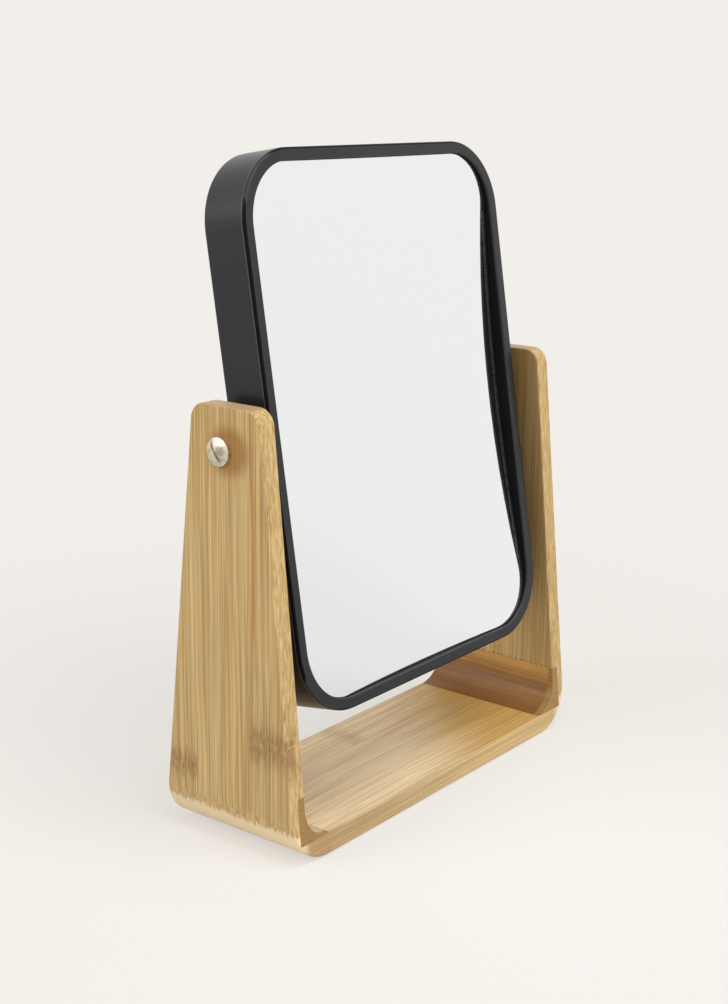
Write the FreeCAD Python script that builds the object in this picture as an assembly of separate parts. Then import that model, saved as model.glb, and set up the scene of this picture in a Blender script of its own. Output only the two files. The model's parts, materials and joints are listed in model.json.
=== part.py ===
import FreeCAD, Part
import math
import os

# Two-sided tabletop mirror: a deep, slim head with a magnifying glass in front and a plain one
# behind, turning on two screws between the tapered sides of a U-shaped bamboo stand.
# Millimetres. +X runs along the base, +Y to the back and +Z up. The origin is on the surface
# that the stand rests on, in the middle of its footprint.

# ---- stand ----
STAND_WIDTH = 170.0
BASE_DEPTH = 60.0
PANEL_TOP_DEPTH = 29.0
STAND_HEIGHT = 153.2
PANEL_THICKNESS = 7.3
BASE_THICKNESS = 7.2
OUTER_CORNER_RADIUS = 17.0
PANEL_TOP_RADIUS = 6.0
COVE_RADIUS = 11.4
BLOCK_HEIGHT = 16.6
REBATE_DEPTH = 3.65
STAND_EDGE_RADIUS = 0.6

# ---- feet, let into the underside of the base ----
FOOT_RADIUS = 5.0
FOOT_THICKNESS = 1.2
FOOT_RECESS = 0.8
FOOT_INSET_X = 26.0
FOOT_INSET_Y = 11.0
FOOT_CLEARANCE = 0.05

# ---- pivot ----
PIVOT_HEIGHT = 138.2
PIVOT_BACK = 2.2
SHANK_RADIUS = 1.95
RUNNING_CLEARANCE = 0.05
SCREW_HEAD_RADIUS = 4.8
SCREW_HEAD_HEIGHT = 2.5
SCREW_HEAD_RIM = 1.1
SLOT_WIDTH = 0.95
SLOT_DEPTH = 1.3
SLOT_ANGLES = {"left": 24.5, "right": -38.0}
WASHER_RADIUS = 6.6
WASHER_THICKNESS = 0.8
SPACER_RADIUS = 6.4
SPACER_BORE_CLEARANCE = 0.2
INSERT_RADIUS = 2.5
INSERT_LENGTH = 9.0
INSERT_CLEARANCE = 0.02
THREAD_ENGAGEMENT = 7.0

# ---- head ----
HEAD_WIDTH = 143.8
HEAD_HEIGHT = 190.4
HEAD_DEPTH = 18.2
HEAD_CORNER_RADIUS = 25.0
HEAD_TILT = 9.3
HEAD_DROP = 0.8
RIM_WIDTH = 4.2
WALL = 2.0
EDGE_RADIUS = 1.0
RIM_INNER_EDGE_RADIUS = 0.3
BEZEL_CAP = 1.2
BEZEL_INSET = 0.1
SKIRT_CLEARANCE = 0.15
REAR_RIM_THICKNESS = 1.6
BOSS_HEIGHT = 12.0
BOSS_END_WALL = 1.5
BOSS_GLASS_CLEARANCE = 0.4

# ---- glasses and packing ----
GLASS_THICKNESS = 2.0
GLASS_CLEARANCE = 0.4
CURVE_RADIUS = 900.0
FRONT_GLASS_RECESS = 8.0
SEAT_GAP = 0.1
CORE_THICKNESS = 2.5
CORE_BEHIND_GLASS = 0.4
PAD_SIZE = 26.0
NOTCH_CLEARANCE = 0.6

# ---- derived ----
# The pivot axis runs through the middle of the room between the two glasses, which is where
# the insert bosses are, and the head's depths are counted from that axis.
BASE_BOTTOM = FOOT_THICKNESS - FOOT_RECESS
BASE_TOP = BASE_BOTTOM + BASE_THICKNESS
PANEL_OUTER = STAND_WIDTH / 2
PANEL_INNER = PANEL_OUTER - PANEL_THICKNESS
BORE_RADIUS = SHANK_RADIUS + RUNNING_CLEARANCE
HEAD_SIDE = HEAD_WIDTH / 2
BOSS_LENGTH = INSERT_LENGTH + BOSS_END_WALL
BOSS_END_SAG = CURVE_RADIUS - math.sqrt(CURVE_RADIUS ** 2 - (HEAD_SIDE - BOSS_LENGTH) ** 2)
ROOM_FRONT = FRONT_GLASS_RECESS + GLASS_THICKNESS - BOSS_END_SAG
ROOM_BACK = HEAD_DEPTH - REAR_RIM_THICKNESS - GLASS_THICKNESS
BOSS_DEPTH = ROOM_BACK - ROOM_FRONT - 2 * BOSS_GLASS_CLEARANCE
FRONT = -(ROOM_FRONT + ROOM_BACK) / 2
BACK = FRONT + HEAD_DEPTH
SEAM = FRONT + BEZEL_CAP
SPHERE_CENTRE_Y = FRONT + FRONT_GLASS_RECESS - CURVE_RADIUS
CORE_FRONT = FRONT + FRONT_GLASS_RECESS + GLASS_THICKNESS + CORE_BEHIND_GLASS
CORE_BACK = CORE_FRONT + CORE_THICKNESS
REAR_GLASS_BACK = BACK - REAR_RIM_THICKNESS
REAR_GLASS_FRONT = REAR_GLASS_BACK - GLASS_THICKNESS
GLASS_INSET = WALL + GLASS_CLEARANCE
REACH = 20.0

V = FreeCAD.Vector
SIDES = {"left": -1, "right": 1}


def arc(start, middle, end):
    return Part.Arc(start, middle, end).toShape()


def line(start, end):
    return Part.LineSegment(start, end).toShape()


def prism(edges, direction):
    return Part.Face(Part.Wire(edges)).extrude(direction)


def x_cylinder(radius, x_start, x_end, y=0.0, z=0.0):
    """A round bar along X between two places."""
    low = min(x_start, x_end)
    return Part.makeCylinder(radius, abs(x_end - x_start), V(low, y, z), V(1, 0, 0))


def face_normal(face, point):
    u, v = face.Surface.parameter(point)
    return face.normalAt(u, v)


def sharp_edges(shape):
    """The edges where two faces meet at an angle, leaving out smooth joins."""
    found = []
    for edge in shape.Edges:
        faces = shape.ancestorsOfType(edge, Part.Face)
        if len(faces) != 2:
            continue
        point = edge.valueAt((edge.FirstParameter + edge.LastParameter) / 2)
        if face_normal(faces[0], point).getAngle(face_normal(faces[1], point)) > 0.2:
            found.append(edge)
    return found


# ---- the stand ----

def stand_outline():
    """The U of the stand seen from the front, with round outer corners and coved inner ones."""
    outer, inner, top = PANEL_OUTER, PANEL_INNER, STAND_HEIGHT
    big, cove = OUTER_CORNER_RADIUS, COVE_RADIUS
    diagonal = math.sqrt(0.5)

    def p(x, z):
        return V(x, -BASE_DEPTH, z)

    def bottom_corner(side):
        centre_x, centre_z = side * (outer - big), BASE_BOTTOM + big
        return p(centre_x + side * big * diagonal, centre_z - big * diagonal)

    def cove_middle(side):
        centre_x, centre_z = side * (inner - cove), BASE_TOP + cove
        return p(centre_x + side * cove * diagonal, centre_z - cove * diagonal)

    edges = [line(p(-outer, top), p(-outer, BASE_BOTTOM + big)),
             arc(p(-outer, BASE_BOTTOM + big), bottom_corner(-1), p(-outer + big, BASE_BOTTOM)),
             line(p(-outer + big, BASE_BOTTOM), p(outer - big, BASE_BOTTOM)),
             arc(p(outer - big, BASE_BOTTOM), bottom_corner(1), p(outer, BASE_BOTTOM + big)),
             line(p(outer, BASE_BOTTOM + big), p(outer, top)),
             line(p(outer, top), p(inner, top)),
             line(p(inner, top), p(inner, BASE_TOP + cove)),
             arc(p(inner, BASE_TOP + cove), cove_middle(1), p(inner - cove, BASE_TOP)),
             line(p(inner - cove, BASE_TOP), p(-inner + cove, BASE_TOP)),
             arc(p(-inner + cove, BASE_TOP), cove_middle(-1), p(-inner, BASE_TOP + cove)),
             line(p(-inner, BASE_TOP + cove), p(-inner, top)),
             line(p(-inner, top), p(-outer, top))]
    return prism(edges, V(0, 2 * BASE_DEPTH, 0))


def side_taper():
    """The tapered outline seen from the side, with its two top corners rounded."""
    low, high = BASE_DEPTH / 2, PANEL_TOP_DEPTH / 2
    slope = math.atan2(low - high, STAND_HEIGHT - BASE_BOTTOM)
    x_start = -STAND_WIDTH
    tangent = PANEL_TOP_RADIUS * math.tan((math.pi / 2 - slope) / 2)
    centre_y = high - tangent
    centre_z = STAND_HEIGHT - PANEL_TOP_RADIUS
    middle_angle = (math.pi / 2 + slope) / 2

    def p(y, z):
        return V(x_start, y, z)

    def on_round(side, angle):
        return p(side * (centre_y + PANEL_TOP_RADIUS * math.cos(angle)),
                 centre_z + PANEL_TOP_RADIUS * math.sin(angle))

    edges = [line(p(-low, BASE_BOTTOM), p(low, BASE_BOTTOM)),
             line(p(low, BASE_BOTTOM), on_round(1, slope)),
             arc(on_round(1, slope), on_round(1, middle_angle), on_round(1, math.pi / 2)),
             line(on_round(1, math.pi / 2), on_round(-1, math.pi / 2)),
             arc(on_round(-1, math.pi / 2), on_round(-1, middle_angle), on_round(-1, slope)),
             line(on_round(-1, slope), p(-low, BASE_BOTTOM))]
    return prism(edges, V(2 * STAND_WIDTH, 0, 0))


def stand_body():
    """The whole stand as it is milled, before it is divided into its glued pieces."""
    body = stand_outline().common(side_taper()).removeSplitter()
    return body.makeFillet(STAND_EDGE_RADIUS, sharp_edges(body))


def foot_places():
    x = PANEL_OUTER - FOOT_INSET_X
    y = BASE_DEPTH / 2 - FOOT_INSET_Y
    return {"front_left": V(-x, -y, 0), "front_right": V(x, -y, 0),
            "rear_left": V(-x, y, 0), "rear_right": V(x, y, 0)}


def base_board(body):
    slab = Part.makeBox(2 * STAND_WIDTH, 2 * BASE_DEPTH, BASE_THICKNESS,
                        V(-STAND_WIDTH, -BASE_DEPTH, BASE_BOTTOM))
    board = body.common(slab)
    recess_radius = FOOT_RADIUS + FOOT_CLEARANCE
    for place in foot_places().values():
        start = V(place.x, place.y, BASE_BOTTOM - REACH)
        board = board.cut(Part.makeCylinder(recess_radius, REACH + FOOT_RECESS, start))
    return board


def block_space(side):
    """The room of one corner block, from the rebate in the panel to the foot of its cove."""
    low_x = PANEL_INNER - COVE_RADIUS
    width = COVE_RADIUS + REBATE_DEPTH
    start_x = low_x if side > 0 else -low_x - width
    return Part.makeBox(width, 2 * BASE_DEPTH, BLOCK_HEIGHT, V(start_x, -BASE_DEPTH, BASE_TOP))


def corner_block(body, side):
    return body.common(block_space(side))


def side_panel(body, side):
    start_x = PANEL_INNER if side > 0 else -STAND_WIDTH
    room = Part.makeBox(STAND_WIDTH - PANEL_INNER, 2 * BASE_DEPTH, 2 * STAND_HEIGHT,
                        V(start_x, -BASE_DEPTH, BASE_TOP))
    panel = body.common(room).cut(block_space(side))
    return panel.cut(x_cylinder(BORE_RADIUS, -STAND_WIDTH, STAND_WIDTH, PIVOT_BACK, PIVOT_HEIGHT))


def foot(place):
    return Part.makeCylinder(FOOT_RADIUS, FOOT_THICKNESS, place)


# ---- the pivots, made with their axis along X through the origin ----

def pivot_screw(side):
    """A slotted pan-head screw whose head bears on the outside of the panel."""
    tip = HEAD_SIDE - THREAD_ENGAGEMENT
    crown = (SCREW_HEAD_RADIUS ** 2 / (SCREW_HEAD_HEIGHT - SCREW_HEAD_RIM)
             + (SCREW_HEAD_HEIGHT - SCREW_HEAD_RIM)) / 2
    head = x_cylinder(SCREW_HEAD_RADIUS, PANEL_OUTER, PANEL_OUTER + SCREW_HEAD_HEIGHT)
    ball = Part.makeSphere(crown, V(PANEL_OUTER + SCREW_HEAD_HEIGHT - crown, 0, 0))
    head = head.common(ball)
    slot = Part.makeBox(SLOT_DEPTH, SLOT_WIDTH, 4 * SCREW_HEAD_RADIUS,
                        V(PANEL_OUTER + SCREW_HEAD_HEIGHT - SLOT_DEPTH,
                          -SLOT_WIDTH / 2, -2 * SCREW_HEAD_RADIUS))
    screw = head.cut(slot).fuse(x_cylinder(SHANK_RADIUS, tip, PANEL_OUTER)).removeSplitter()
    if side < 0:
        screw = screw.mirror(V(0, 0, 0), V(1, 0, 0))
    angle = SLOT_ANGLES["left" if side < 0 else "right"]
    screw.rotate(V(0, 0, 0), V(1, 0, 0), -angle)
    return screw


def friction_washer(side):
    """A rubber ring held against the panel; the spacer turns on it."""
    inner = side * (PANEL_INNER - WASHER_THICKNESS)
    ring = x_cylinder(WASHER_RADIUS, side * PANEL_INNER, inner, PIVOT_BACK, PIVOT_HEIGHT)
    bore = x_cylinder(BORE_RADIUS, side * PANEL_INNER, inner, PIVOT_BACK, PIVOT_HEIGHT)
    return ring.cut(bore)


def spacer(side):
    start = side * HEAD_SIDE
    end = side * (PANEL_INNER - WASHER_THICKNESS)
    return x_cylinder(SPACER_RADIUS, start, end).cut(
        x_cylinder(SHANK_RADIUS + SPACER_BORE_CLEARANCE, start, end))


def threaded_insert(side):
    start = side * HEAD_SIDE
    end = side * (HEAD_SIDE - INSERT_LENGTH)
    return x_cylinder(INSERT_RADIUS, start, end).cut(x_cylinder(BORE_RADIUS, start, end))


# ---- the head, made upright round the pivot axis, its front towards -Y ----

def rounded_slab(inset, y_front, y_back):
    """A plate with the head's outline, drawn in by inset, between two depths."""
    half_x = HEAD_WIDTH / 2 - inset
    half_z = HEAD_HEIGHT / 2 - inset
    radius = HEAD_CORNER_RADIUS - inset
    x, z = half_x - radius, half_z - radius
    reach = radius * math.sqrt(0.5)

    def p(px, pz):
        return V(px, y_front, pz - HEAD_DROP)

    edges = [line(p(-x, -half_z), p(x, -half_z)),
             arc(p(x, -half_z), p(x + reach, -z - reach), p(half_x, -z)),
             line(p(half_x, -z), p(half_x, z)),
             arc(p(half_x, z), p(x + reach, z + reach), p(x, half_z)),
             line(p(x, half_z), p(-x, half_z)),
             arc(p(-x, half_z), p(-x - reach, z + reach), p(-half_x, z)),
             line(p(-half_x, z), p(-half_x, -z)),
             arc(p(-half_x, -z), p(-x - reach, -z - reach), p(-x, -half_z))]
    return prism(edges, V(0, y_back - y_front, 0))


def curve_ball(radius):
    """A ball round the centre of the magnifying glass's curve."""
    return Part.makeSphere(radius, V(0, SPHERE_CENTRE_Y, -HEAD_DROP))


def rim_edges(shape, y, inner):
    """The edges in one face of a rim: those of its opening, or those of its outside."""
    limit = HEAD_SIDE - RIM_WIDTH / 2
    found = []
    for edge in shape.Edges:
        box = edge.BoundBox
        if abs(box.YMin - y) > 0.01 or abs(box.YMax - y) > 0.01:
            continue
        inside = box.XMax < limit and box.XMin > -limit and \
            box.ZMax + HEAD_DROP < HEAD_HEIGHT / 2 - RIM_WIDTH / 2 and \
            box.ZMin + HEAD_DROP > -HEAD_HEIGHT / 2 + RIM_WIDTH / 2
        if inside == inner:
            found.append(edge)
    return found


def boss_space(grow, length):
    """The room of the two insert bosses, one inside each side wall."""
    half_z = BOSS_HEIGHT / 2 + grow
    half_y = BOSS_DEPTH / 2 + grow
    boxes = []
    for side in SIDES.values():
        start = HEAD_SIDE - length if side > 0 else -HEAD_SIDE
        boxes.append(Part.makeBox(length, 2 * half_y, 2 * half_z, V(start, -half_y, -half_z)))
    return boxes


def housing():
    """The one-piece moulded shell: side wall, rear rim and the two insert bosses."""
    shell = rounded_slab(0, SEAM, BACK)
    shell = shell.makeFillet(EDGE_RADIUS, rim_edges(shell, BACK, False))
    shell = shell.cut(rounded_slab(RIM_WIDTH, SEAM, BACK + REACH))
    shell = shell.makeFillet(RIM_INNER_EDGE_RADIUS, rim_edges(shell, BACK, True))
    shell = shell.cut(rounded_slab(WALL, SEAM - REACH, REAR_GLASS_BACK))
    for box in boss_space(0, BOSS_LENGTH):
        shell = shell.fuse(box.common(rounded_slab(WALL / 2, SEAM, BACK)))
    shell = shell.removeSplitter()
    for side in SIDES.values():
        depth = side * (HEAD_SIDE - INSERT_LENGTH)
        bore = x_cylinder(INSERT_RADIUS + INSERT_CLEARANCE, side * (HEAD_SIDE + REACH), depth)
        shell = shell.cut(bore)
    return shell


def front_bezel():
    """The ring that closes the front; its skirt holds the magnifying glass down."""
    cap = rounded_slab(BEZEL_INSET, FRONT, SEAM)
    skirt = rounded_slab(WALL + SKIRT_CLEARANCE, FRONT, FRONT + FRONT_GLASS_RECESS)
    ring = cap.fuse(skirt).removeSplitter()
    ring = ring.makeFillet(EDGE_RADIUS, rim_edges(ring, FRONT, False))
    ring = ring.cut(rounded_slab(RIM_WIDTH, FRONT - REACH, FRONT + REACH))
    ring = ring.makeFillet(RIM_INNER_EDGE_RADIUS, rim_edges(ring, FRONT, True))
    return ring.common(curve_ball(CURVE_RADIUS - SEAT_GAP))


def front_glass():
    """The magnifying mirror: a bent sheet, hollow towards the front."""
    blank = rounded_slab(GLASS_INSET, FRONT, FRONT + FRONT_GLASS_RECESS + GLASS_THICKNESS + 1)
    return blank.common(curve_ball(CURVE_RADIUS + GLASS_THICKNESS)).cut(curve_ball(CURVE_RADIUS))


def rear_glass():
    """The plain mirror, flat against the inside of the rear rim."""
    return rounded_slab(GLASS_INSET, REAR_GLASS_FRONT, REAR_GLASS_BACK)


def notched(sheet):
    for box in boss_space(NOTCH_CLEARANCE, BOSS_LENGTH + NOTCH_CLEARANCE):
        sheet = sheet.cut(box)
    return sheet


def core_board():
    """The stiff board that both glasses are packed against."""
    return notched(rounded_slab(GLASS_INSET, CORE_FRONT, CORE_BACK))


def rear_foam():
    """The foam sheet between the board and the plain mirror."""
    return notched(rounded_slab(GLASS_INSET, CORE_BACK, REAR_GLASS_FRONT))


def corner_pads():
    """Foam pads on the board's corners, shaped to the back of the magnifying glass."""
    blank = rounded_slab(GLASS_INSET, FRONT, CORE_FRONT)
    blank = blank.cut(curve_ball(CURVE_RADIUS + GLASS_THICKNESS + SEAT_GAP))
    half_x = HEAD_WIDTH / 2 - GLASS_INSET
    half_z = HEAD_HEIGHT / 2 - GLASS_INSET
    pads = {}
    for x_name, x_side in SIDES.items():
        for z_name, z_side in {"lower": -1, "upper": 1}.items():
            low_x = half_x - PAD_SIZE if x_side > 0 else -half_x
            low_z = (half_z - PAD_SIZE if z_side > 0 else -half_z) - HEAD_DROP
            room = Part.makeBox(PAD_SIZE, HEAD_DEPTH, PAD_SIZE, V(low_x, FRONT, low_z))
            pads["pad_%s_%s" % (z_name, x_name)] = blank.common(room)
    return pads


def head_parts():
    parts = {"housing": housing(), "front_bezel": front_bezel(), "front_glass": front_glass(),
             "rear_glass": rear_glass(), "core_board": core_board(), "rear_foam": rear_foam()}
    parts.update(corner_pads())
    for name, side in SIDES.items():
        parts["pivot_screw_" + name] = pivot_screw(side)
        parts["spacer_" + name] = spacer(side)
        parts["threaded_insert_" + name] = threaded_insert(side)
    for shape in parts.values():
        shape.rotate(V(0, 0, 0), V(1, 0, 0), -HEAD_TILT)
        shape.translate(V(0, PIVOT_BACK, PIVOT_HEIGHT))
    return parts


def stand_parts():
    body = stand_body()
    parts = {"base_board": base_board(body)}
    for name, side in SIDES.items():
        parts["side_panel_" + name] = side_panel(body, side)
        parts["corner_block_" + name] = corner_block(body, side)
        parts["friction_washer_" + name] = friction_washer(side)
    for name, place in foot_places().items():
        parts["foot_" + name] = foot(place)
    return parts


def main():
    os.makedirs("parts", exist_ok=True)
    parts = stand_parts()
    parts.update(head_parts())
    for name, shape in parts.items():
        shape.exportStep("parts/%s.step" % name)


main()
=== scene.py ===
import json
import math

import bmesh
import bpy
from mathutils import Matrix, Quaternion, Vector


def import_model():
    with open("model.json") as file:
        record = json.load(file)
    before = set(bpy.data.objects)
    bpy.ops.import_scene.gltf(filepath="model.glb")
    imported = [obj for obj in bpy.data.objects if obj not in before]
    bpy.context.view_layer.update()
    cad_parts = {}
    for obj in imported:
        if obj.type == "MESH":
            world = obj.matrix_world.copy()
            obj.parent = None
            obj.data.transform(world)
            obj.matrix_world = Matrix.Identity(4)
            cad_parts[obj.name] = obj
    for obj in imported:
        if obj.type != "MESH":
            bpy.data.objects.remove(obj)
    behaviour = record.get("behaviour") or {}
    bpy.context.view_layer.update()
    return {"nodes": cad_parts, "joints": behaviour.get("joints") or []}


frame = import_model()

NODES = frame["nodes"]
MM = 1000.0

# ---- camera ----
CAMERA_TARGET_HEIGHT = 0.1107
CAMERA_DISTANCE = 0.588
CAMERA_AZIMUTH = -52.76
CAMERA_ELEVATION = 14.1
CAMERA_ROLL = 0.83
CAMERA_LENS = 57.73
CAMERA_SHIFT = (-0.0207, -0.0153)

# ---- studio ----
BACKGROUND = (242, 239, 234)
NEAR_FLOOR = (0.68, 0.68, 0.69, 1.0)
MID_FLOOR = (0.85, 0.85, 0.855, 1.0)
HORIZON = (0.91, 0.91, 0.91, 1.0)
OVERHEAD = (1.0, 1.0, 1.0, 1.0)
AMBIENT = 0.34
FLOOR_REACH = 6.0

# ---- sizes of the object, in millimetres ----
TILT = math.radians(9.3)
PIVOT = Vector(frame["joints"][0]["pos_m"]) * MM
HEAD_SIDE = 71.9
HEAD_HALF_HEIGHT = 95.2
HEAD_DROP = 0.8
HEAD_CORNER = 25.0
RIM_WIDTH = 4.2
HEAD_FRONT = -11.28
HEAD_SEAM = -10.08
PANEL_TOP = 153.2
PANEL_INNER = 77.7
BLOCK_TOP = 24.2
BASE_FRONT = -29.9
# Centre of the painted shadow round the left screw head.
SCREW_SHADOW_PLACE = (-1.8, 138.6)
SMUDGE_PLACE = (0.3, 139.0)

# ---- bamboo colours ----
STRAW = (211, 183, 129)
HONEY = (192, 156, 95)
FIBRE = (156, 110, 52)
KNUCKLE = (138, 98, 54)
CREAM = (240, 218, 178)
PINK = (240, 212, 168)
GOLD = (200, 159, 92)
EDGE_LEFT = (156, 127, 76)
EDGE_RIGHT = (210, 182, 130)
BLOCK_LOW = (141, 96, 50)
BLOCK_HIGH = (202, 156, 90)


def linear(rgb):
    """An sRGB colour, 0 to 255, as the linear colour that shaders use."""
    out = []
    for value in rgb:
        c = value / 255
        out.append(c / 12.92 if c <= 0.04045 else ((c + 0.055) / 1.055) ** 2.4)
    return tuple(out) + (1.0,)


class Graph:
    """A short way to write a material's nodes."""

    def __init__(self, name):
        self.material = bpy.data.materials.new(name)
        self.material.use_nodes = True
        self.tree = self.material.node_tree
        self.tree.nodes.clear()
        self.output = self.tree.nodes.new("ShaderNodeOutputMaterial")

    def node(self, kind, **settings):
        made = self.tree.nodes.new("ShaderNode" + kind)
        for key, value in settings.items():
            setattr(made, key, value)
        return made

    def put(self, socket, value):
        if isinstance(value, bpy.types.NodeSocket):
            self.tree.links.new(value, socket)
        else:
            socket.default_value = value

    def math(self, operation, a, b=0.0):
        made = self.node("Math", operation=operation)
        self.put(made.inputs[0], a)
        self.put(made.inputs[1], b)
        return made.outputs[0]

    def add(self, a, b):
        return self.math("ADD", a, b)

    def sub(self, a, b):
        return self.math("SUBTRACT", a, b)

    def mul(self, a, b):
        return self.math("MULTIPLY", a, b)

    def size(self, a):
        return self.math("ABSOLUTE", a)

    def more(self, a, b):
        return self.math("MAXIMUM", a, b)

    def rise(self, value, low, high):
        """0 below low, 1 above high, and smooth between; low above high makes it fall."""
        made = self.node("MapRange", interpolation_type="SMOOTHSTEP")
        if isinstance(low, (int, float)) and isinstance(high, (int, float)) and low > high:
            low, high = high, low
            made.inputs[3].default_value = 1.0
            made.inputs[4].default_value = 0.0
        self.put(made.inputs[0], value)
        self.put(made.inputs[1], low)
        self.put(made.inputs[2], high)
        return made.outputs[0]

    def between(self, value, low, high, soft):
        """1 between low and high, with soft edges."""
        return self.mul(self.rise(value, low - soft, low + soft),
                        self.rise(value, high + soft, high - soft))

    def scaled(self, value, low, high):
        """A number round 0.5 stretched to run from low to high."""
        return self.add(low, self.mul(value, high - low))

    def join(self, x, y, z):
        made = self.node("CombineXYZ")
        self.put(made.inputs[0], x)
        self.put(made.inputs[1], y)
        self.put(made.inputs[2], z)
        return made.outputs[0]

    def split(self, vector):
        made = self.node("SeparateXYZ")
        self.put(made.inputs[0], vector)
        return made.outputs

    def noise(self, vector, detail=2.0, roughness=0.5, scale=1.0):
        made = self.node("TexNoise")
        self.put(made.inputs["Vector"], vector)
        made.inputs["Scale"].default_value = scale
        made.inputs["Detail"].default_value = detail
        made.inputs["Roughness"].default_value = roughness
        return made.outputs[0]

    def cells(self, vector):
        made = self.node("TexVoronoi")
        self.put(made.inputs["Vector"], vector)
        made.inputs["Scale"].default_value = 1.0
        return made.outputs[0]

    def mix(self, factor, a, b):
        made = self.node("Mix", data_type="RGBA")
        self.put(made.inputs[0], factor)
        self.put(made.inputs[6], a)
        self.put(made.inputs[7], b)
        return made.outputs[2]

    def shade(self, colour, value):
        """The colour made darker or lighter by a number round 1."""
        made = self.node("VectorMath", operation="SCALE")
        fixed = not isinstance(colour, bpy.types.NodeSocket)
        self.put(made.inputs[0], colour[:3] if fixed else colour)
        self.put(made.inputs["Scale"], value)
        return made.outputs[0]

    def place(self):
        """The point on the part at rest, in millimetres."""
        made = self.node("VectorMath", operation="SCALE")
        self.put(made.inputs[0], self.node("TexCoord").outputs["Object"])
        made.inputs["Scale"].default_value = MM
        return made.outputs[0]

    def head_place(self):
        """The point in the head's own upright axes, counted from the pivot, in millimetres."""
        moved = self.node("VectorMath", operation="SUBTRACT")
        self.put(moved.inputs[0], self.place())
        moved.inputs[1].default_value = PIVOT
        turned = self.node("VectorRotate", rotation_type="X_AXIS")
        self.put(turned.inputs["Vector"], moved.outputs[0])
        turned.inputs["Angle"].default_value = TILT
        return turned.outputs[0]

    def bump(self, height, strength, distance=0.0001):
        made = self.node("Bump")
        self.put(made.inputs["Height"], height)
        made.inputs["Strength"].default_value = strength
        made.inputs["Distance"].default_value = distance
        return made.outputs[0]

    def surface(self, colour, roughness, normal=None, metallic=0.0, specular=0.5):
        shader = self.node("BsdfPrincipled")
        self.put(shader.inputs["Base Color"], colour)
        self.put(shader.inputs["Roughness"], roughness)
        if normal is not None:
            self.put(shader.inputs["Normal"], normal)
        shader.inputs["Metallic"].default_value = metallic
        shader.inputs["Specular IOR Level"].default_value = specular
        self.tree.links.new(shader.outputs[0], self.output.inputs[0])
        return self.material


def give(material, *names):
    for name in names:
        mesh = NODES[name].data
        mesh.materials.clear()
        mesh.materials.append(material)


# ---- bamboo ----

def fibres(g, along, across, deep, seed, run=0.012):
    """Fibre bundles that run along one axis through the solid.

    A face cut along the grain shows long lines, one cut at a slant shows dashes, and an end
    shows dots. A larger run makes shorter fibres. Gives the bundles, the fine threads, the
    streaks and the broad drift."""
    wander = g.noise(g.join(g.mul(along, 0.012), g.mul(across, 0.05), g.mul(deep, 0.05)), 1.0)
    shift = g.mul(g.sub(wander, 0.5), 1.2)
    side = g.add(across, shift)
    depth = g.add(g.add(deep, seed), shift)
    bundle = g.cells(g.join(g.mul(side, 1.9), g.mul(depth, 2.0), g.mul(along, run)))
    thread = g.noise(g.join(g.mul(side, 2.7), g.mul(depth, 2.7), g.mul(along, run)), 2.0)
    streak = g.noise(g.join(g.mul(side, 1.2), g.mul(depth, 0.8), g.mul(along, run)), 3.0)
    broad = g.noise(g.join(g.mul(side, 0.15), g.mul(depth, 0.15), g.mul(along, 0.006)), 1.0)
    return g.rise(bundle, 0.42, 0.16), thread, streak, broad


def knuckle(g, along, across, centre, low, high, seed, half_height):
    """A node across one strip: dark broken streaks of uneven length along the grain."""
    shift = g.noise(g.join(g.mul(across, 0.55), seed, 0.0), 2.0)
    reach = g.noise(g.join(g.mul(across, 1.5), seed + 7.0, 0.0), 2.0)
    middle = g.add(centre, g.mul(g.sub(shift, 0.5), 13.0))
    half = g.add(half_height * 0.35, g.mul(reach, half_height * 1.5))
    away = g.size(g.math("DIVIDE", g.sub(along, middle), half))
    body = g.rise(away, 1.3, 0.15)
    crumb = g.noise(g.join(g.mul(across, 2.0), g.mul(along, 0.30), seed), 3.0, 0.6)
    broken = g.scaled(g.rise(crumb, 0.38, 0.58), 0.3, 1.0)
    return g.mul(g.mul(body, g.between(across, low, high, 0.35)), broken)


def grained(g, colour, bundle, thread, streak, broad, fibre_strength):
    """The colour with its fibres, threads, streaks and drift of tone."""
    colour = g.mix(g.mul(bundle, fibre_strength), colour, linear(FIBRE))
    colour = g.shade(colour, g.scaled(g.rise(thread, 0.34, 0.66), 0.80, 1.12))
    colour = g.shade(colour, g.scaled(g.rise(streak, 0.28, 0.72), 0.96, 1.04))
    return g.shade(colour, g.scaled(broad, 0.93, 1.07))


def bamboo_finish(g, colour, bundle, thread):
    height = g.sub(g.mul(thread, 0.6), g.mul(bundle, 0.6))
    roughness = g.add(0.44, g.mul(bundle, 0.12))
    return g.surface(colour, roughness, g.bump(height, 0.30), specular=0.35)


def ragged_edge(g, y, height, low, reach):
    """1 just above a height, to an uneven line like torn fibre ends."""
    teeth = g.noise(g.join(g.mul(y, 1.3), 3.0, 0.0), 3.0, 0.75)
    top = g.add(low, g.mul(g.rise(teeth, 0.46, 0.60), reach))
    return g.math("LESS_THAN", height, top)


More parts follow.
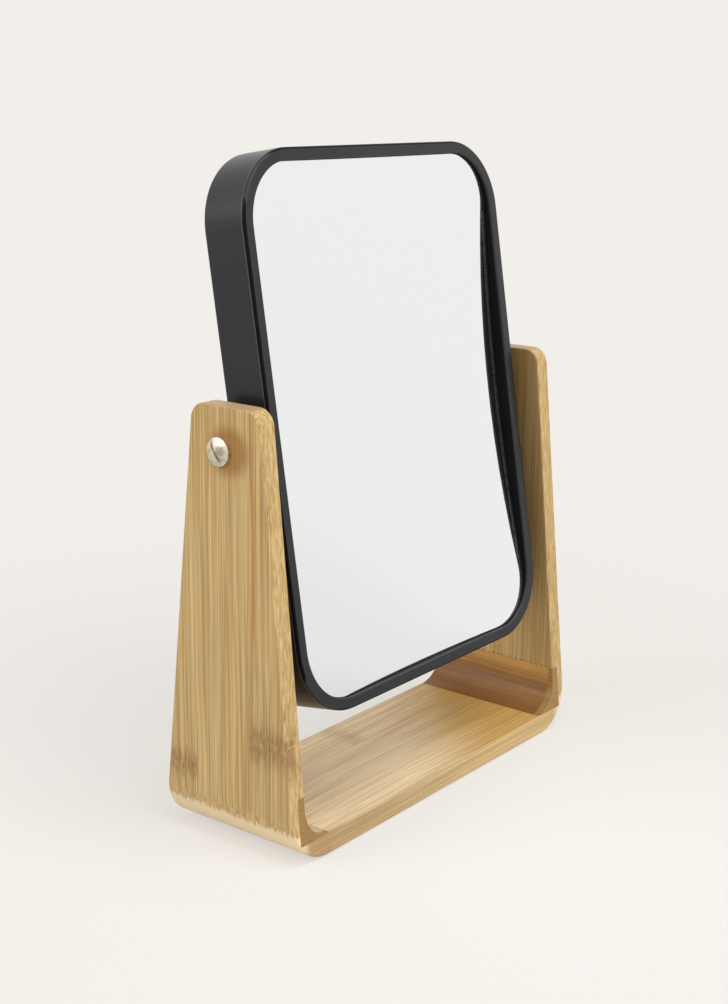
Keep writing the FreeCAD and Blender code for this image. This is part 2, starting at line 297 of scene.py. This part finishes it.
def panel_bamboo(name, side):
    """An upright side of the stand: fine vertical grain, cream where its foot rounds under."""
    g = Graph(name)
    x, y, z = g.split(g.place())
    bundle, thread, streak, broad = fibres(g, z, y, x, 3.0 if side < 0 else 31.0)
    colour = g.mix(g.rise(streak, 0.28, 0.72), linear(HONEY), linear(STRAW))
    colour = grained(g, colour, bundle, thread, streak, broad, 0.55)
    outside = g.rise(g.mul(x, float(side)), 79.0, 82.0)
    if side < 0:
        strips = (14.2, -10.0)
        red = g.mul(g.between(y, -12.4, -11.2, 0.7), g.between(z, 75.0, 134.0, 16.0))
        colour = g.mix(g.mul(red, 0.8), colour, linear((172, 114, 58)))
        marks = ((25.5, 14.2, 32.0, 1.0, 5.0), (41.5, -32.0, -10.0, 5.0, 7.5))
        # A brown ring round the screw head, centred a little in front of it: painted shadow of
        # the screw head.
        ring = g.math("SQRT", g.add(g.math("POWER", g.sub(y, SCREW_SHADOW_PLACE[0]), 2.0),
                                    g.math("POWER", g.sub(z, SCREW_SHADOW_PLACE[1]), 2.0)))
        stain_and_painted_shadow = g.mul(g.rise(ring, 11.0, 5.0), outside)
        colour = g.mix(g.mul(stain_and_painted_shadow, 0.75), colour, linear((148, 100, 42)))
    else:
        strips = (11.5, -9.0)
        # The inner face is darkened towards the top with dark honey: painted shade from the head
        # above it.
        painted_shade = g.mul(g.rise(x, PANEL_INNER + 0.6, PANEL_INNER + 0.2), g.rise(z, 35.0, 95.0))
        colour = g.mix(g.mul(painted_shade, 0.62), colour, linear((118, 84, 42)))
        marks = ((62.0, 11.5, 32.0, 2.0, 6.0), (119.0, -9.0, 11.5, 8.0, 6.0))
    colour = g.shade(colour, g.scaled(g.rise(y, strips[1] - 0.3, strips[1] + 0.3), 0.97, 1.02))
    for centre, low, high, seed, half in marks:
        mark = g.mul(knuckle(g, z, y, centre, low, high, seed, half), outside)
        colour = g.mix(g.mul(mark, 0.72), colour, linear(KNUCKLE))
    for strip in strips:
        line = g.between(y, strip - 0.08, strip + 0.08, 0.12)
        colour = g.mix(g.mul(line, 0.25), colour, linear(KNUCKLE))
    teeth = g.noise(g.join(g.mul(y, 1.5), g.mul(x, 0.4), 0.0), 3.0, 0.75)
    foot_line = g.add(12.2, g.mul(g.sub(teeth, 0.5), 9.0))
    cream = g.mul(g.rise(g.sub(z, foot_line), 0.9, -0.9), outside)
    colour = g.mix(g.mul(cream, 0.90), colour, linear(CREAM))
    inside = g.rise(g.mul(x, float(side)), PANEL_INNER + 0.6, PANEL_INNER + 0.2)
    torn = g.mul(ragged_edge(g, y, z, BLOCK_TOP - 0.1, 1.1), inside)
    colour = g.mix(g.mul(torn, 0.75), colour, linear((104, 74, 38)))
    top = g.rise(z, PANEL_TOP - 0.7, PANEL_TOP - 0.1)
    colour = g.mix(g.mul(top, 0.65), colour, linear((170, 138, 108)))
    return bamboo_finish(g, colour, bundle, thread)


def base_bamboo(name):
    """The base board: grain from side to side, pinkish at the left and golden at the right."""
    g = Graph(name)
    x, y, z = g.split(g.place())
    bundle, thread, streak, broad = fibres(g, x, y, z, 12.0, 0.014)
    drift = g.add(g.sub(x, g.mul(y, 0.5)), g.mul(g.sub(broad, 0.5), 60.0))
    colour = g.mix(g.rise(drift, 0.0, 62.0), linear(PINK), linear(GOLD))
    front = g.rise(y, BASE_FRONT + 1.6, BASE_FRONT + 0.6)
    edge = g.mix(g.rise(x, -70.0, 50.0), linear(EDGE_LEFT), linear(EDGE_RIGHT))
    colour = g.mix(g.mul(front, 0.75), colour, edge)
    colour = grained(g, colour, bundle, thread, streak, broad, 0.42)
    mark = knuckle(g, x, y, 1.0, 10.0, 32.0, 4.0, 5.0)
    colour = g.mix(g.mul(mark, 0.40), colour, linear((164, 118, 76)))
    flame = g.noise(g.join(g.mul(y, 0.6), g.mul(x, 0.035), 3.0), 3.0)
    stain_and_painted_shadow = g.mul(g.rise(flame, 0.50, 0.66), g.rise(x, -36.0, -62.0))
    colour = g.mix(g.mul(stain_and_painted_shadow, 0.5), colour, linear((176, 126, 94)))
    end = g.rise(g.size(x), 76.0, 80.5)
    colour = g.mix(g.mul(end, 0.75), colour, linear(CREAM))
    return bamboo_finish(g, colour, bundle, thread)


def block_bamboo(name, side):
    """A corner block: grain from front to back in fine strips, browner towards its foot."""
    g = Graph(name)
    x, y, z = g.split(g.place())
    bundle, thread, streak, broad = fibres(g, y, z, x, 20.0 + 9.0 * side, 0.02)
    depth = g.add(z, g.mul(g.size(x), -0.25))
    band = g.noise(g.join(g.mul(depth, 0.50), g.mul(y, 0.008), 5.0 + side), 3.0, 0.6)
    colour = g.mix(g.rise(z, 15.0, 22.5), linear(BLOCK_LOW), linear(BLOCK_HIGH))
    colour = g.shade(colour, g.scaled(g.rise(band, 0.38, 0.62), 0.84, 1.12))
    end = g.rise(y, -25.5, -26.5)
    colour = g.mix(end, colour, linear((160, 124, 72)))
    # On the left block everything behind its front end is pale pink: a painted highlight along
    # the cove's front edge.
    if side < 0:
        colour = g.mix(g.rise(y, -27.5, -26.0), colour, linear((208, 176, 138)))
    colour = grained(g, colour, bundle, thread, streak, broad, 0.45)
    mark = knuckle(g, y, z, 12.0, 7.5, 14.0, 9.0, 5.0)
    colour = g.mix(g.mul(mark, 0.5), colour, linear((120, 78, 44)))
    return bamboo_finish(g, colour, bundle, thread)


# ---- plastics, metals, rubber ----

def black_plastic(name, tone, roughness):
    """Satin moulded plastic: a fine grain, a few specks of dust, and a pale line at the seam, a
    painted highlight on the housing's front edge.
    """
    g = Graph(name)
    place = g.place()
    fine = g.noise(place, 2.0, 0.6, 3.0)
    slow = g.noise(place, 2.0, 0.5, 0.05)
    speck = g.rise(g.noise(place, 1.0, 0.5, 0.9), 0.80, 0.86)
    colour = g.shade(linear(tone), g.scaled(slow, 0.85, 1.15))
    colour = g.mix(g.mul(speck, 0.4), colour, linear((120, 118, 116)))
    x, y, z = g.split(g.head_place())
    # A pale band along the housing's front edge at the seam: painted highlight.
    painted_lip_highlight = g.rise(y, HEAD_SEAM + 0.5, HEAD_SEAM + 0.2)
    colour = g.mix(g.mul(painted_lip_highlight, 0.5), colour, linear((104, 101, 104)))
    rough = g.scaled(slow, roughness - 0.05, roughness + 0.05)
    return g.surface(colour, rough, g.bump(fine, 0.10, 0.00004), specular=0.42)


def bezel_face(name):
    """The satin face of the front ring."""
    g = Graph(name)
    place = g.place()
    slow = g.noise(place, 2.0, 0.5, 0.06)
    fine = g.noise(place, 2.0, 0.6, 3.0)
    colour = g.shade(linear((23, 23, 25)), g.scaled(slow, 0.85, 1.15))
    rough = g.scaled(slow, 0.30, 0.40)
    return g.surface(colour, rough, g.bump(fine, 0.10, 0.00004), specular=0.42)


def bezel_side_shade_and_highlight(name):
    """The ring's walls, inside and out: nearly black, painted shade for the dark their rounded
    edges reflect and for the shade inside the opening; paler only along the opening's lip, a
    painted highlight on its rounded edge.
    """
    g = Graph(name)
    x, y, z = g.split(g.head_place())
    grain = g.noise(g.place(), 3.0, 0.6, 1.5)
    opening = g.mul(g.rise(g.size(x), HEAD_SIDE - 1.5, HEAD_SIDE - 2.5),
                    g.rise(g.size(g.add(z, HEAD_DROP)), HEAD_HALF_HEIGHT - 1.5,
                           HEAD_HALF_HEIGHT - 2.5))
    # The front of the opening's wall is paler: painted highlight on the lip's rounded edge.
    painted_lip_highlight = g.mul(g.rise(y, HEAD_FRONT + 1.5, HEAD_FRONT + 0.5), opening)
    # Nearly black: painted shade on the walls and rounded edges of the same plastic as the face.
    colour = g.shade(linear((10, 10, 11)), g.scaled(grain, 0.7, 1.3))
    colour = g.mix(g.mul(painted_lip_highlight, 0.7), colour, linear((74, 73, 76)))
    return g.surface(colour, 0.45, g.bump(grain, 0.1, 0.00003), specular=0.08)


def dress_bezel():
    """The ring's front takes the satin face; every wall that runs backwards takes the near-black
    painted shade.
    """
    ring = NODES["front_bezel"]
    give(bezel_face("bezel_face"), "front_bezel")
    ring.data.materials.append(bezel_side_shade_and_highlight("bezel_side_shade_and_highlight"))
    forward = Vector((0.0, -math.cos(TILT), math.sin(TILT)))
    for face in ring.data.polygons:
        face.material_index = 0 if face.normal.dot(forward) > 0.97 else 1


def nickel(name):
    """Worn nickel plating: lightly mottled, with one dark smudge beside the middle."""
    g = Graph(name)
    place = g.place()
    patch = g.noise(place, 3.0, 0.6, 0.45)
    fine = g.noise(place, 3.0, 0.65, 2.2)
    colour = g.mix(g.rise(patch, 0.35, 0.65), linear((206, 194, 170)), linear((236, 226, 204)))
    colour = g.shade(colour, g.scaled(g.rise(fine, 0.3, 0.7), 0.90, 1.04))
    x, y, z = g.split(place)
    reach = g.math("SQRT", g.add(g.math("POWER", g.sub(y, SMUDGE_PLACE[0]), 2.0),
                                 g.math("POWER", g.sub(z, SMUDGE_PLACE[1]), 2.0)))
    colour = g.mix(g.mul(g.rise(reach, 2.4, 0.9), 0.6), colour, linear((112, 103, 88)))
    rough = g.scaled(patch, 0.34, 0.50)
    return g.surface(colour, rough, g.bump(fine, 0.12, 0.00004), metallic=1.0)


def brass(name):
    g = Graph(name)
    patch = g.noise(g.place(), 2.0, 0.5, 0.6)
    colour = g.mix(patch, linear((176, 138, 72)), linear((206, 170, 98)))
    return g.surface(colour, g.scaled(patch, 0.28, 0.42), metallic=1.0)


def rubber(name, tone):
    g = Graph(name)
    grain = g.noise(g.place(), 3.0, 0.6, 2.5)
    colour = g.shade(linear(tone), g.scaled(grain, 0.8, 1.2))
    return g.surface(colour, 0.72, g.bump(grain, 0.3, 0.00006), specular=0.3)


def board(name, tone):
    g = Graph(name)
    grain = g.noise(g.place(), 4.0, 0.7, 1.2)
    colour = g.shade(linear(tone), g.scaled(grain, 0.75, 1.25))
    return g.surface(colour, 0.85, g.bump(grain, 0.4, 0.00008), specular=0.2)


def from_rim(g, x, z):
    """How far a point of the glass is inside the rounded opening of the rim."""
    radius = HEAD_CORNER - RIM_WIDTH
    out_x = g.sub(g.size(x), HEAD_SIDE - RIM_WIDTH - radius)
    out_z = g.sub(g.size(g.add(z, HEAD_DROP)), HEAD_HALF_HEIGHT - RIM_WIDTH - radius)
    round_x = g.more(out_x, 0.0)
    round_z = g.more(out_z, 0.0)
    corner = g.math("SQRT", g.add(g.mul(round_x, round_x), g.mul(round_z, round_z)))
    flat = g.math("MINIMUM", g.more(out_x, out_z), 0.0)
    return g.sub(radius, g.add(corner, flat))


def mirror_glass(name, wall_reflection_on):
    """Silvered glass, darkened at its very edge as painted shade where it runs under the rim;
    beside its upright edges runs a broken grey band, a painted reflection of the rim's inner
    wall.
    """
    g = Graph(name)
    x, y, z = g.split(g.head_place())
    inward = from_rim(g, x, z)
    upright = g.rise(g.size(g.add(z, HEAD_DROP)), HEAD_HALF_HEIGHT - 12.0,
                     HEAD_HALF_HEIGHT - 34.0)
    chips = g.noise(g.join(g.mul(x, 0.6), g.mul(z, 0.6), g.mul(y, 0.6)), 3.0, 0.7)
    # A broken grey band 1.1 to 2.5 mm inside the rim on the upright edges: painted reflection of
    # the rim's inner wall.
    painted_wall_reflection = g.between(inward, 1.1, 2.5, 0.3)
    painted_wall_reflection = g.mul(g.mul(painted_wall_reflection, upright), g.scaled(g.rise(chips, 0.35, 0.55), 0.5, 1.0))
    painted_wall_reflection = g.mul(painted_wall_reflection, wall_reflection_on)
    # Nearly black along the glass's edge: painted shade where it runs under the rim.
    edge = g.rise(inward, 0.45, 0.15)
    smear = g.noise(g.place(), 3.0, 0.55, 0.03)
    colour = g.mix(painted_wall_reflection, linear((247, 247, 247)), linear((120, 120, 122)))
    colour = g.mix(edge, colour, linear((30, 30, 32)))
    rough = g.add(g.scaled(smear, 0.004, 0.016), g.mul(g.more(edge, painted_wall_reflection), 0.4))
    return g.surface(colour, rough, metallic=1.0)


def dress():
    give(panel_bamboo("bamboo_panel_left", -1), "side_panel_left")
    give(panel_bamboo("bamboo_panel_right", 1), "side_panel_right")
    give(base_bamboo("bamboo_base"), "base_board")
    give(block_bamboo("bamboo_block_left", -1), "corner_block_left")
    give(block_bamboo("bamboo_block_right", 1), "corner_block_right")
    give(black_plastic("housing_plastic", (27, 26, 30), 0.30), "housing")
    dress_bezel()
    give(rubber("spacer_plastic", (22, 22, 24)), "spacer_left", "spacer_right")
    give(nickel("nickel_plate"), "pivot_screw_left", "pivot_screw_right")
    give(brass("insert_brass"), "threaded_insert_left", "threaded_insert_right")
    give(rubber("washer_rubber", (26, 26, 27)), "friction_washer_left", "friction_washer_right")
    feet = [name for name in NODES if name.startswith("foot_")]
    give(rubber("foot_rubber", (48, 47, 46)), *feet)
    give(mirror_glass("magnifying_mirror", 1.0), "front_glass")
    give(mirror_glass("plain_mirror", 0.0), "rear_glass")
    give(board("core_fibre", (150, 122, 88)), "core_board")
    pads = [name for name in NODES if name.startswith("pad_")]
    give(board("white_foam", (226, 225, 222)), "rear_foam", *pads)


# ---- stage ----

def camera():
    azimuth, elevation = math.radians(CAMERA_AZIMUTH), math.radians(CAMERA_ELEVATION)
    back = Vector((math.sin(azimuth) * math.cos(elevation),
                   -math.cos(azimuth) * math.cos(elevation),
                   math.sin(elevation)))
    data = bpy.data.cameras.new("camera")
    data.lens = CAMERA_LENS
    data.sensor_width = 36.0
    data.sensor_fit = "AUTO"
    data.shift_x, data.shift_y = CAMERA_SHIFT
    data.clip_start = 0.01
    made = bpy.data.objects.new("camera", data)
    made.location = Vector((0, 0, CAMERA_TARGET_HEIGHT)) + back * CAMERA_DISTANCE
    made.rotation_mode = "QUATERNION"
    roll = Quaternion((0, 0, 1), math.radians(CAMERA_ROLL))
    made.rotation_quaternion = back.to_track_quat("Z", "Y") @ roll
    bpy.context.scene.collection.objects.link(made)
    bpy.context.scene.camera = made


def area_light(name, place, size, watts):
    """A rectangular softbox aimed at the middle of the object."""
    data = bpy.data.lights.new(name, "AREA")
    data.shape = "RECTANGLE"
    data.size, data.size_y = size
    data.energy = watts
    made = bpy.data.objects.new(name, data)
    made.location = place
    aim = Vector(place) - Vector((0, 0, 0.1))
    made.rotation_euler = aim.to_track_quat("Z", "Y").to_euler()
    bpy.context.scene.collection.objects.link(made)


def floor_material():
    """Takes a soft shadow near the object and melts into the background further out.

    A reflection meets an even pale floor."""
    g = Graph("floor")
    path = g.node("LightPath")
    x, y, z = g.split(g.place())
    far = g.math("SQRT", g.add(g.mul(x, x), g.mul(y, y)))

    def glow(colour):
        shader = g.node("Emission")
        g.put(shader.inputs["Color"], colour)
        return shader.outputs[0]

    def blend(factor, first, second):
        shader = g.node("MixShader")
        g.put(shader.inputs[0], factor)
        g.put(shader.inputs[1], first)
        g.put(shader.inputs[2], second)
        return shader.outputs[0]

    matt = g.node("BsdfDiffuse")
    matt.inputs["Color"].default_value = linear((236, 233, 228))
    matt = matt.outputs[0]
    direct = blend(g.scaled(g.rise(far, 110.0, 420.0), 0.62, 1.0), matt, glow(linear(BACKGROUND)))
    near = g.mix(g.rise(far, 150.0, 1500.0), NEAR_FLOOR, MID_FLOOR)
    mirrored = glow(g.mix(g.rise(far, 1500.0, 5000.0), near, HORIZON))
    shown = blend(path.outputs["Is Camera Ray"], matt, direct)
    bounced = g.more(path.outputs["Is Glossy Ray"], path.outputs["Is Transmission Ray"])
    whole = blend(bounced, shown, mirrored)
    g.tree.links.new(whole, g.output.inputs[0])
    return g.material


def floor():
    mesh = bpy.data.meshes.new("floor")
    work = bmesh.new()
    signs = ((-1, -1), (1, -1), (1, 1), (-1, 1))
    corners = [work.verts.new((sx * FLOOR_REACH, sy * FLOOR_REACH, 0.0)) for sx, sy in signs]
    work.faces.new(corners)
    work.to_mesh(mesh)
    work.free()
    made = bpy.data.objects.new("floor", mesh)
    bpy.context.scene.collection.objects.link(made)
    mesh.materials.append(floor_material())


def world():
    """Soft even light; a ray seen directly or in a reflection meets the pale background."""
    made = bpy.data.worlds.new("studio")
    made.use_nodes = True
    tree = made.node_tree
    tree.nodes.clear()

    def node(kind):
        return tree.nodes.new("ShaderNode" + kind)

    def background(colour, strength):
        shader = node("Background")
        shader.inputs["Color"].default_value = colour
        shader.inputs["Strength"].default_value = strength
        return shader

    def choose(factor, first, second):
        blend = node("MixShader")
        tree.links.new(factor, blend.inputs[0])
        tree.links.new(first.outputs[0], blend.inputs[1])
        tree.links.new(second.outputs[0], blend.inputs[2])
        return blend

    path = node("LightPath")
    parts = node("SeparateXYZ")
    tree.links.new(node("TexCoord").outputs["Generated"], parts.inputs[0])
    height = node("MapRange")
    tree.links.new(parts.outputs["Z"], height.inputs[0])
    height.inputs[2].default_value = 0.6
    ramp = node("Mix")
    ramp.data_type = "RGBA"
    tree.links.new(height.outputs[0], ramp.inputs[0])
    ramp.inputs[6].default_value = HORIZON
    ramp.inputs[7].default_value = OVERHEAD
    mirrored = node("Background")
    tree.links.new(ramp.outputs[2], mirrored.inputs["Color"])
    ambient = background((1.0, 0.99, 0.97, 1.0), AMBIENT)
    seen = choose(path.outputs["Is Camera Ray"], ambient, background(linear(BACKGROUND), 1.0))
    glossy = choose(path.outputs["Is Glossy Ray"], seen, mirrored)
    whole = choose(path.outputs["Is Transmission Ray"], glossy, mirrored)
    tree.links.new(whole.outputs[0], node("OutputWorld").inputs[0])
    bpy.context.scene.world = made


def lights():
    area_light("key", (-1.0, 0.45, 0.75), (0.8, 0.6), 5.6)
    area_light("front", (-0.05, -1.25, 0.55), (0.9, 0.7), 5.6)
    area_light("top", (-0.05, -0.45, 1.15), (0.8, 0.8), 8.6)


camera()
world()
floor()
dress()
lights()
bpy.context.scene.view_settings.view_transform = "Standard"
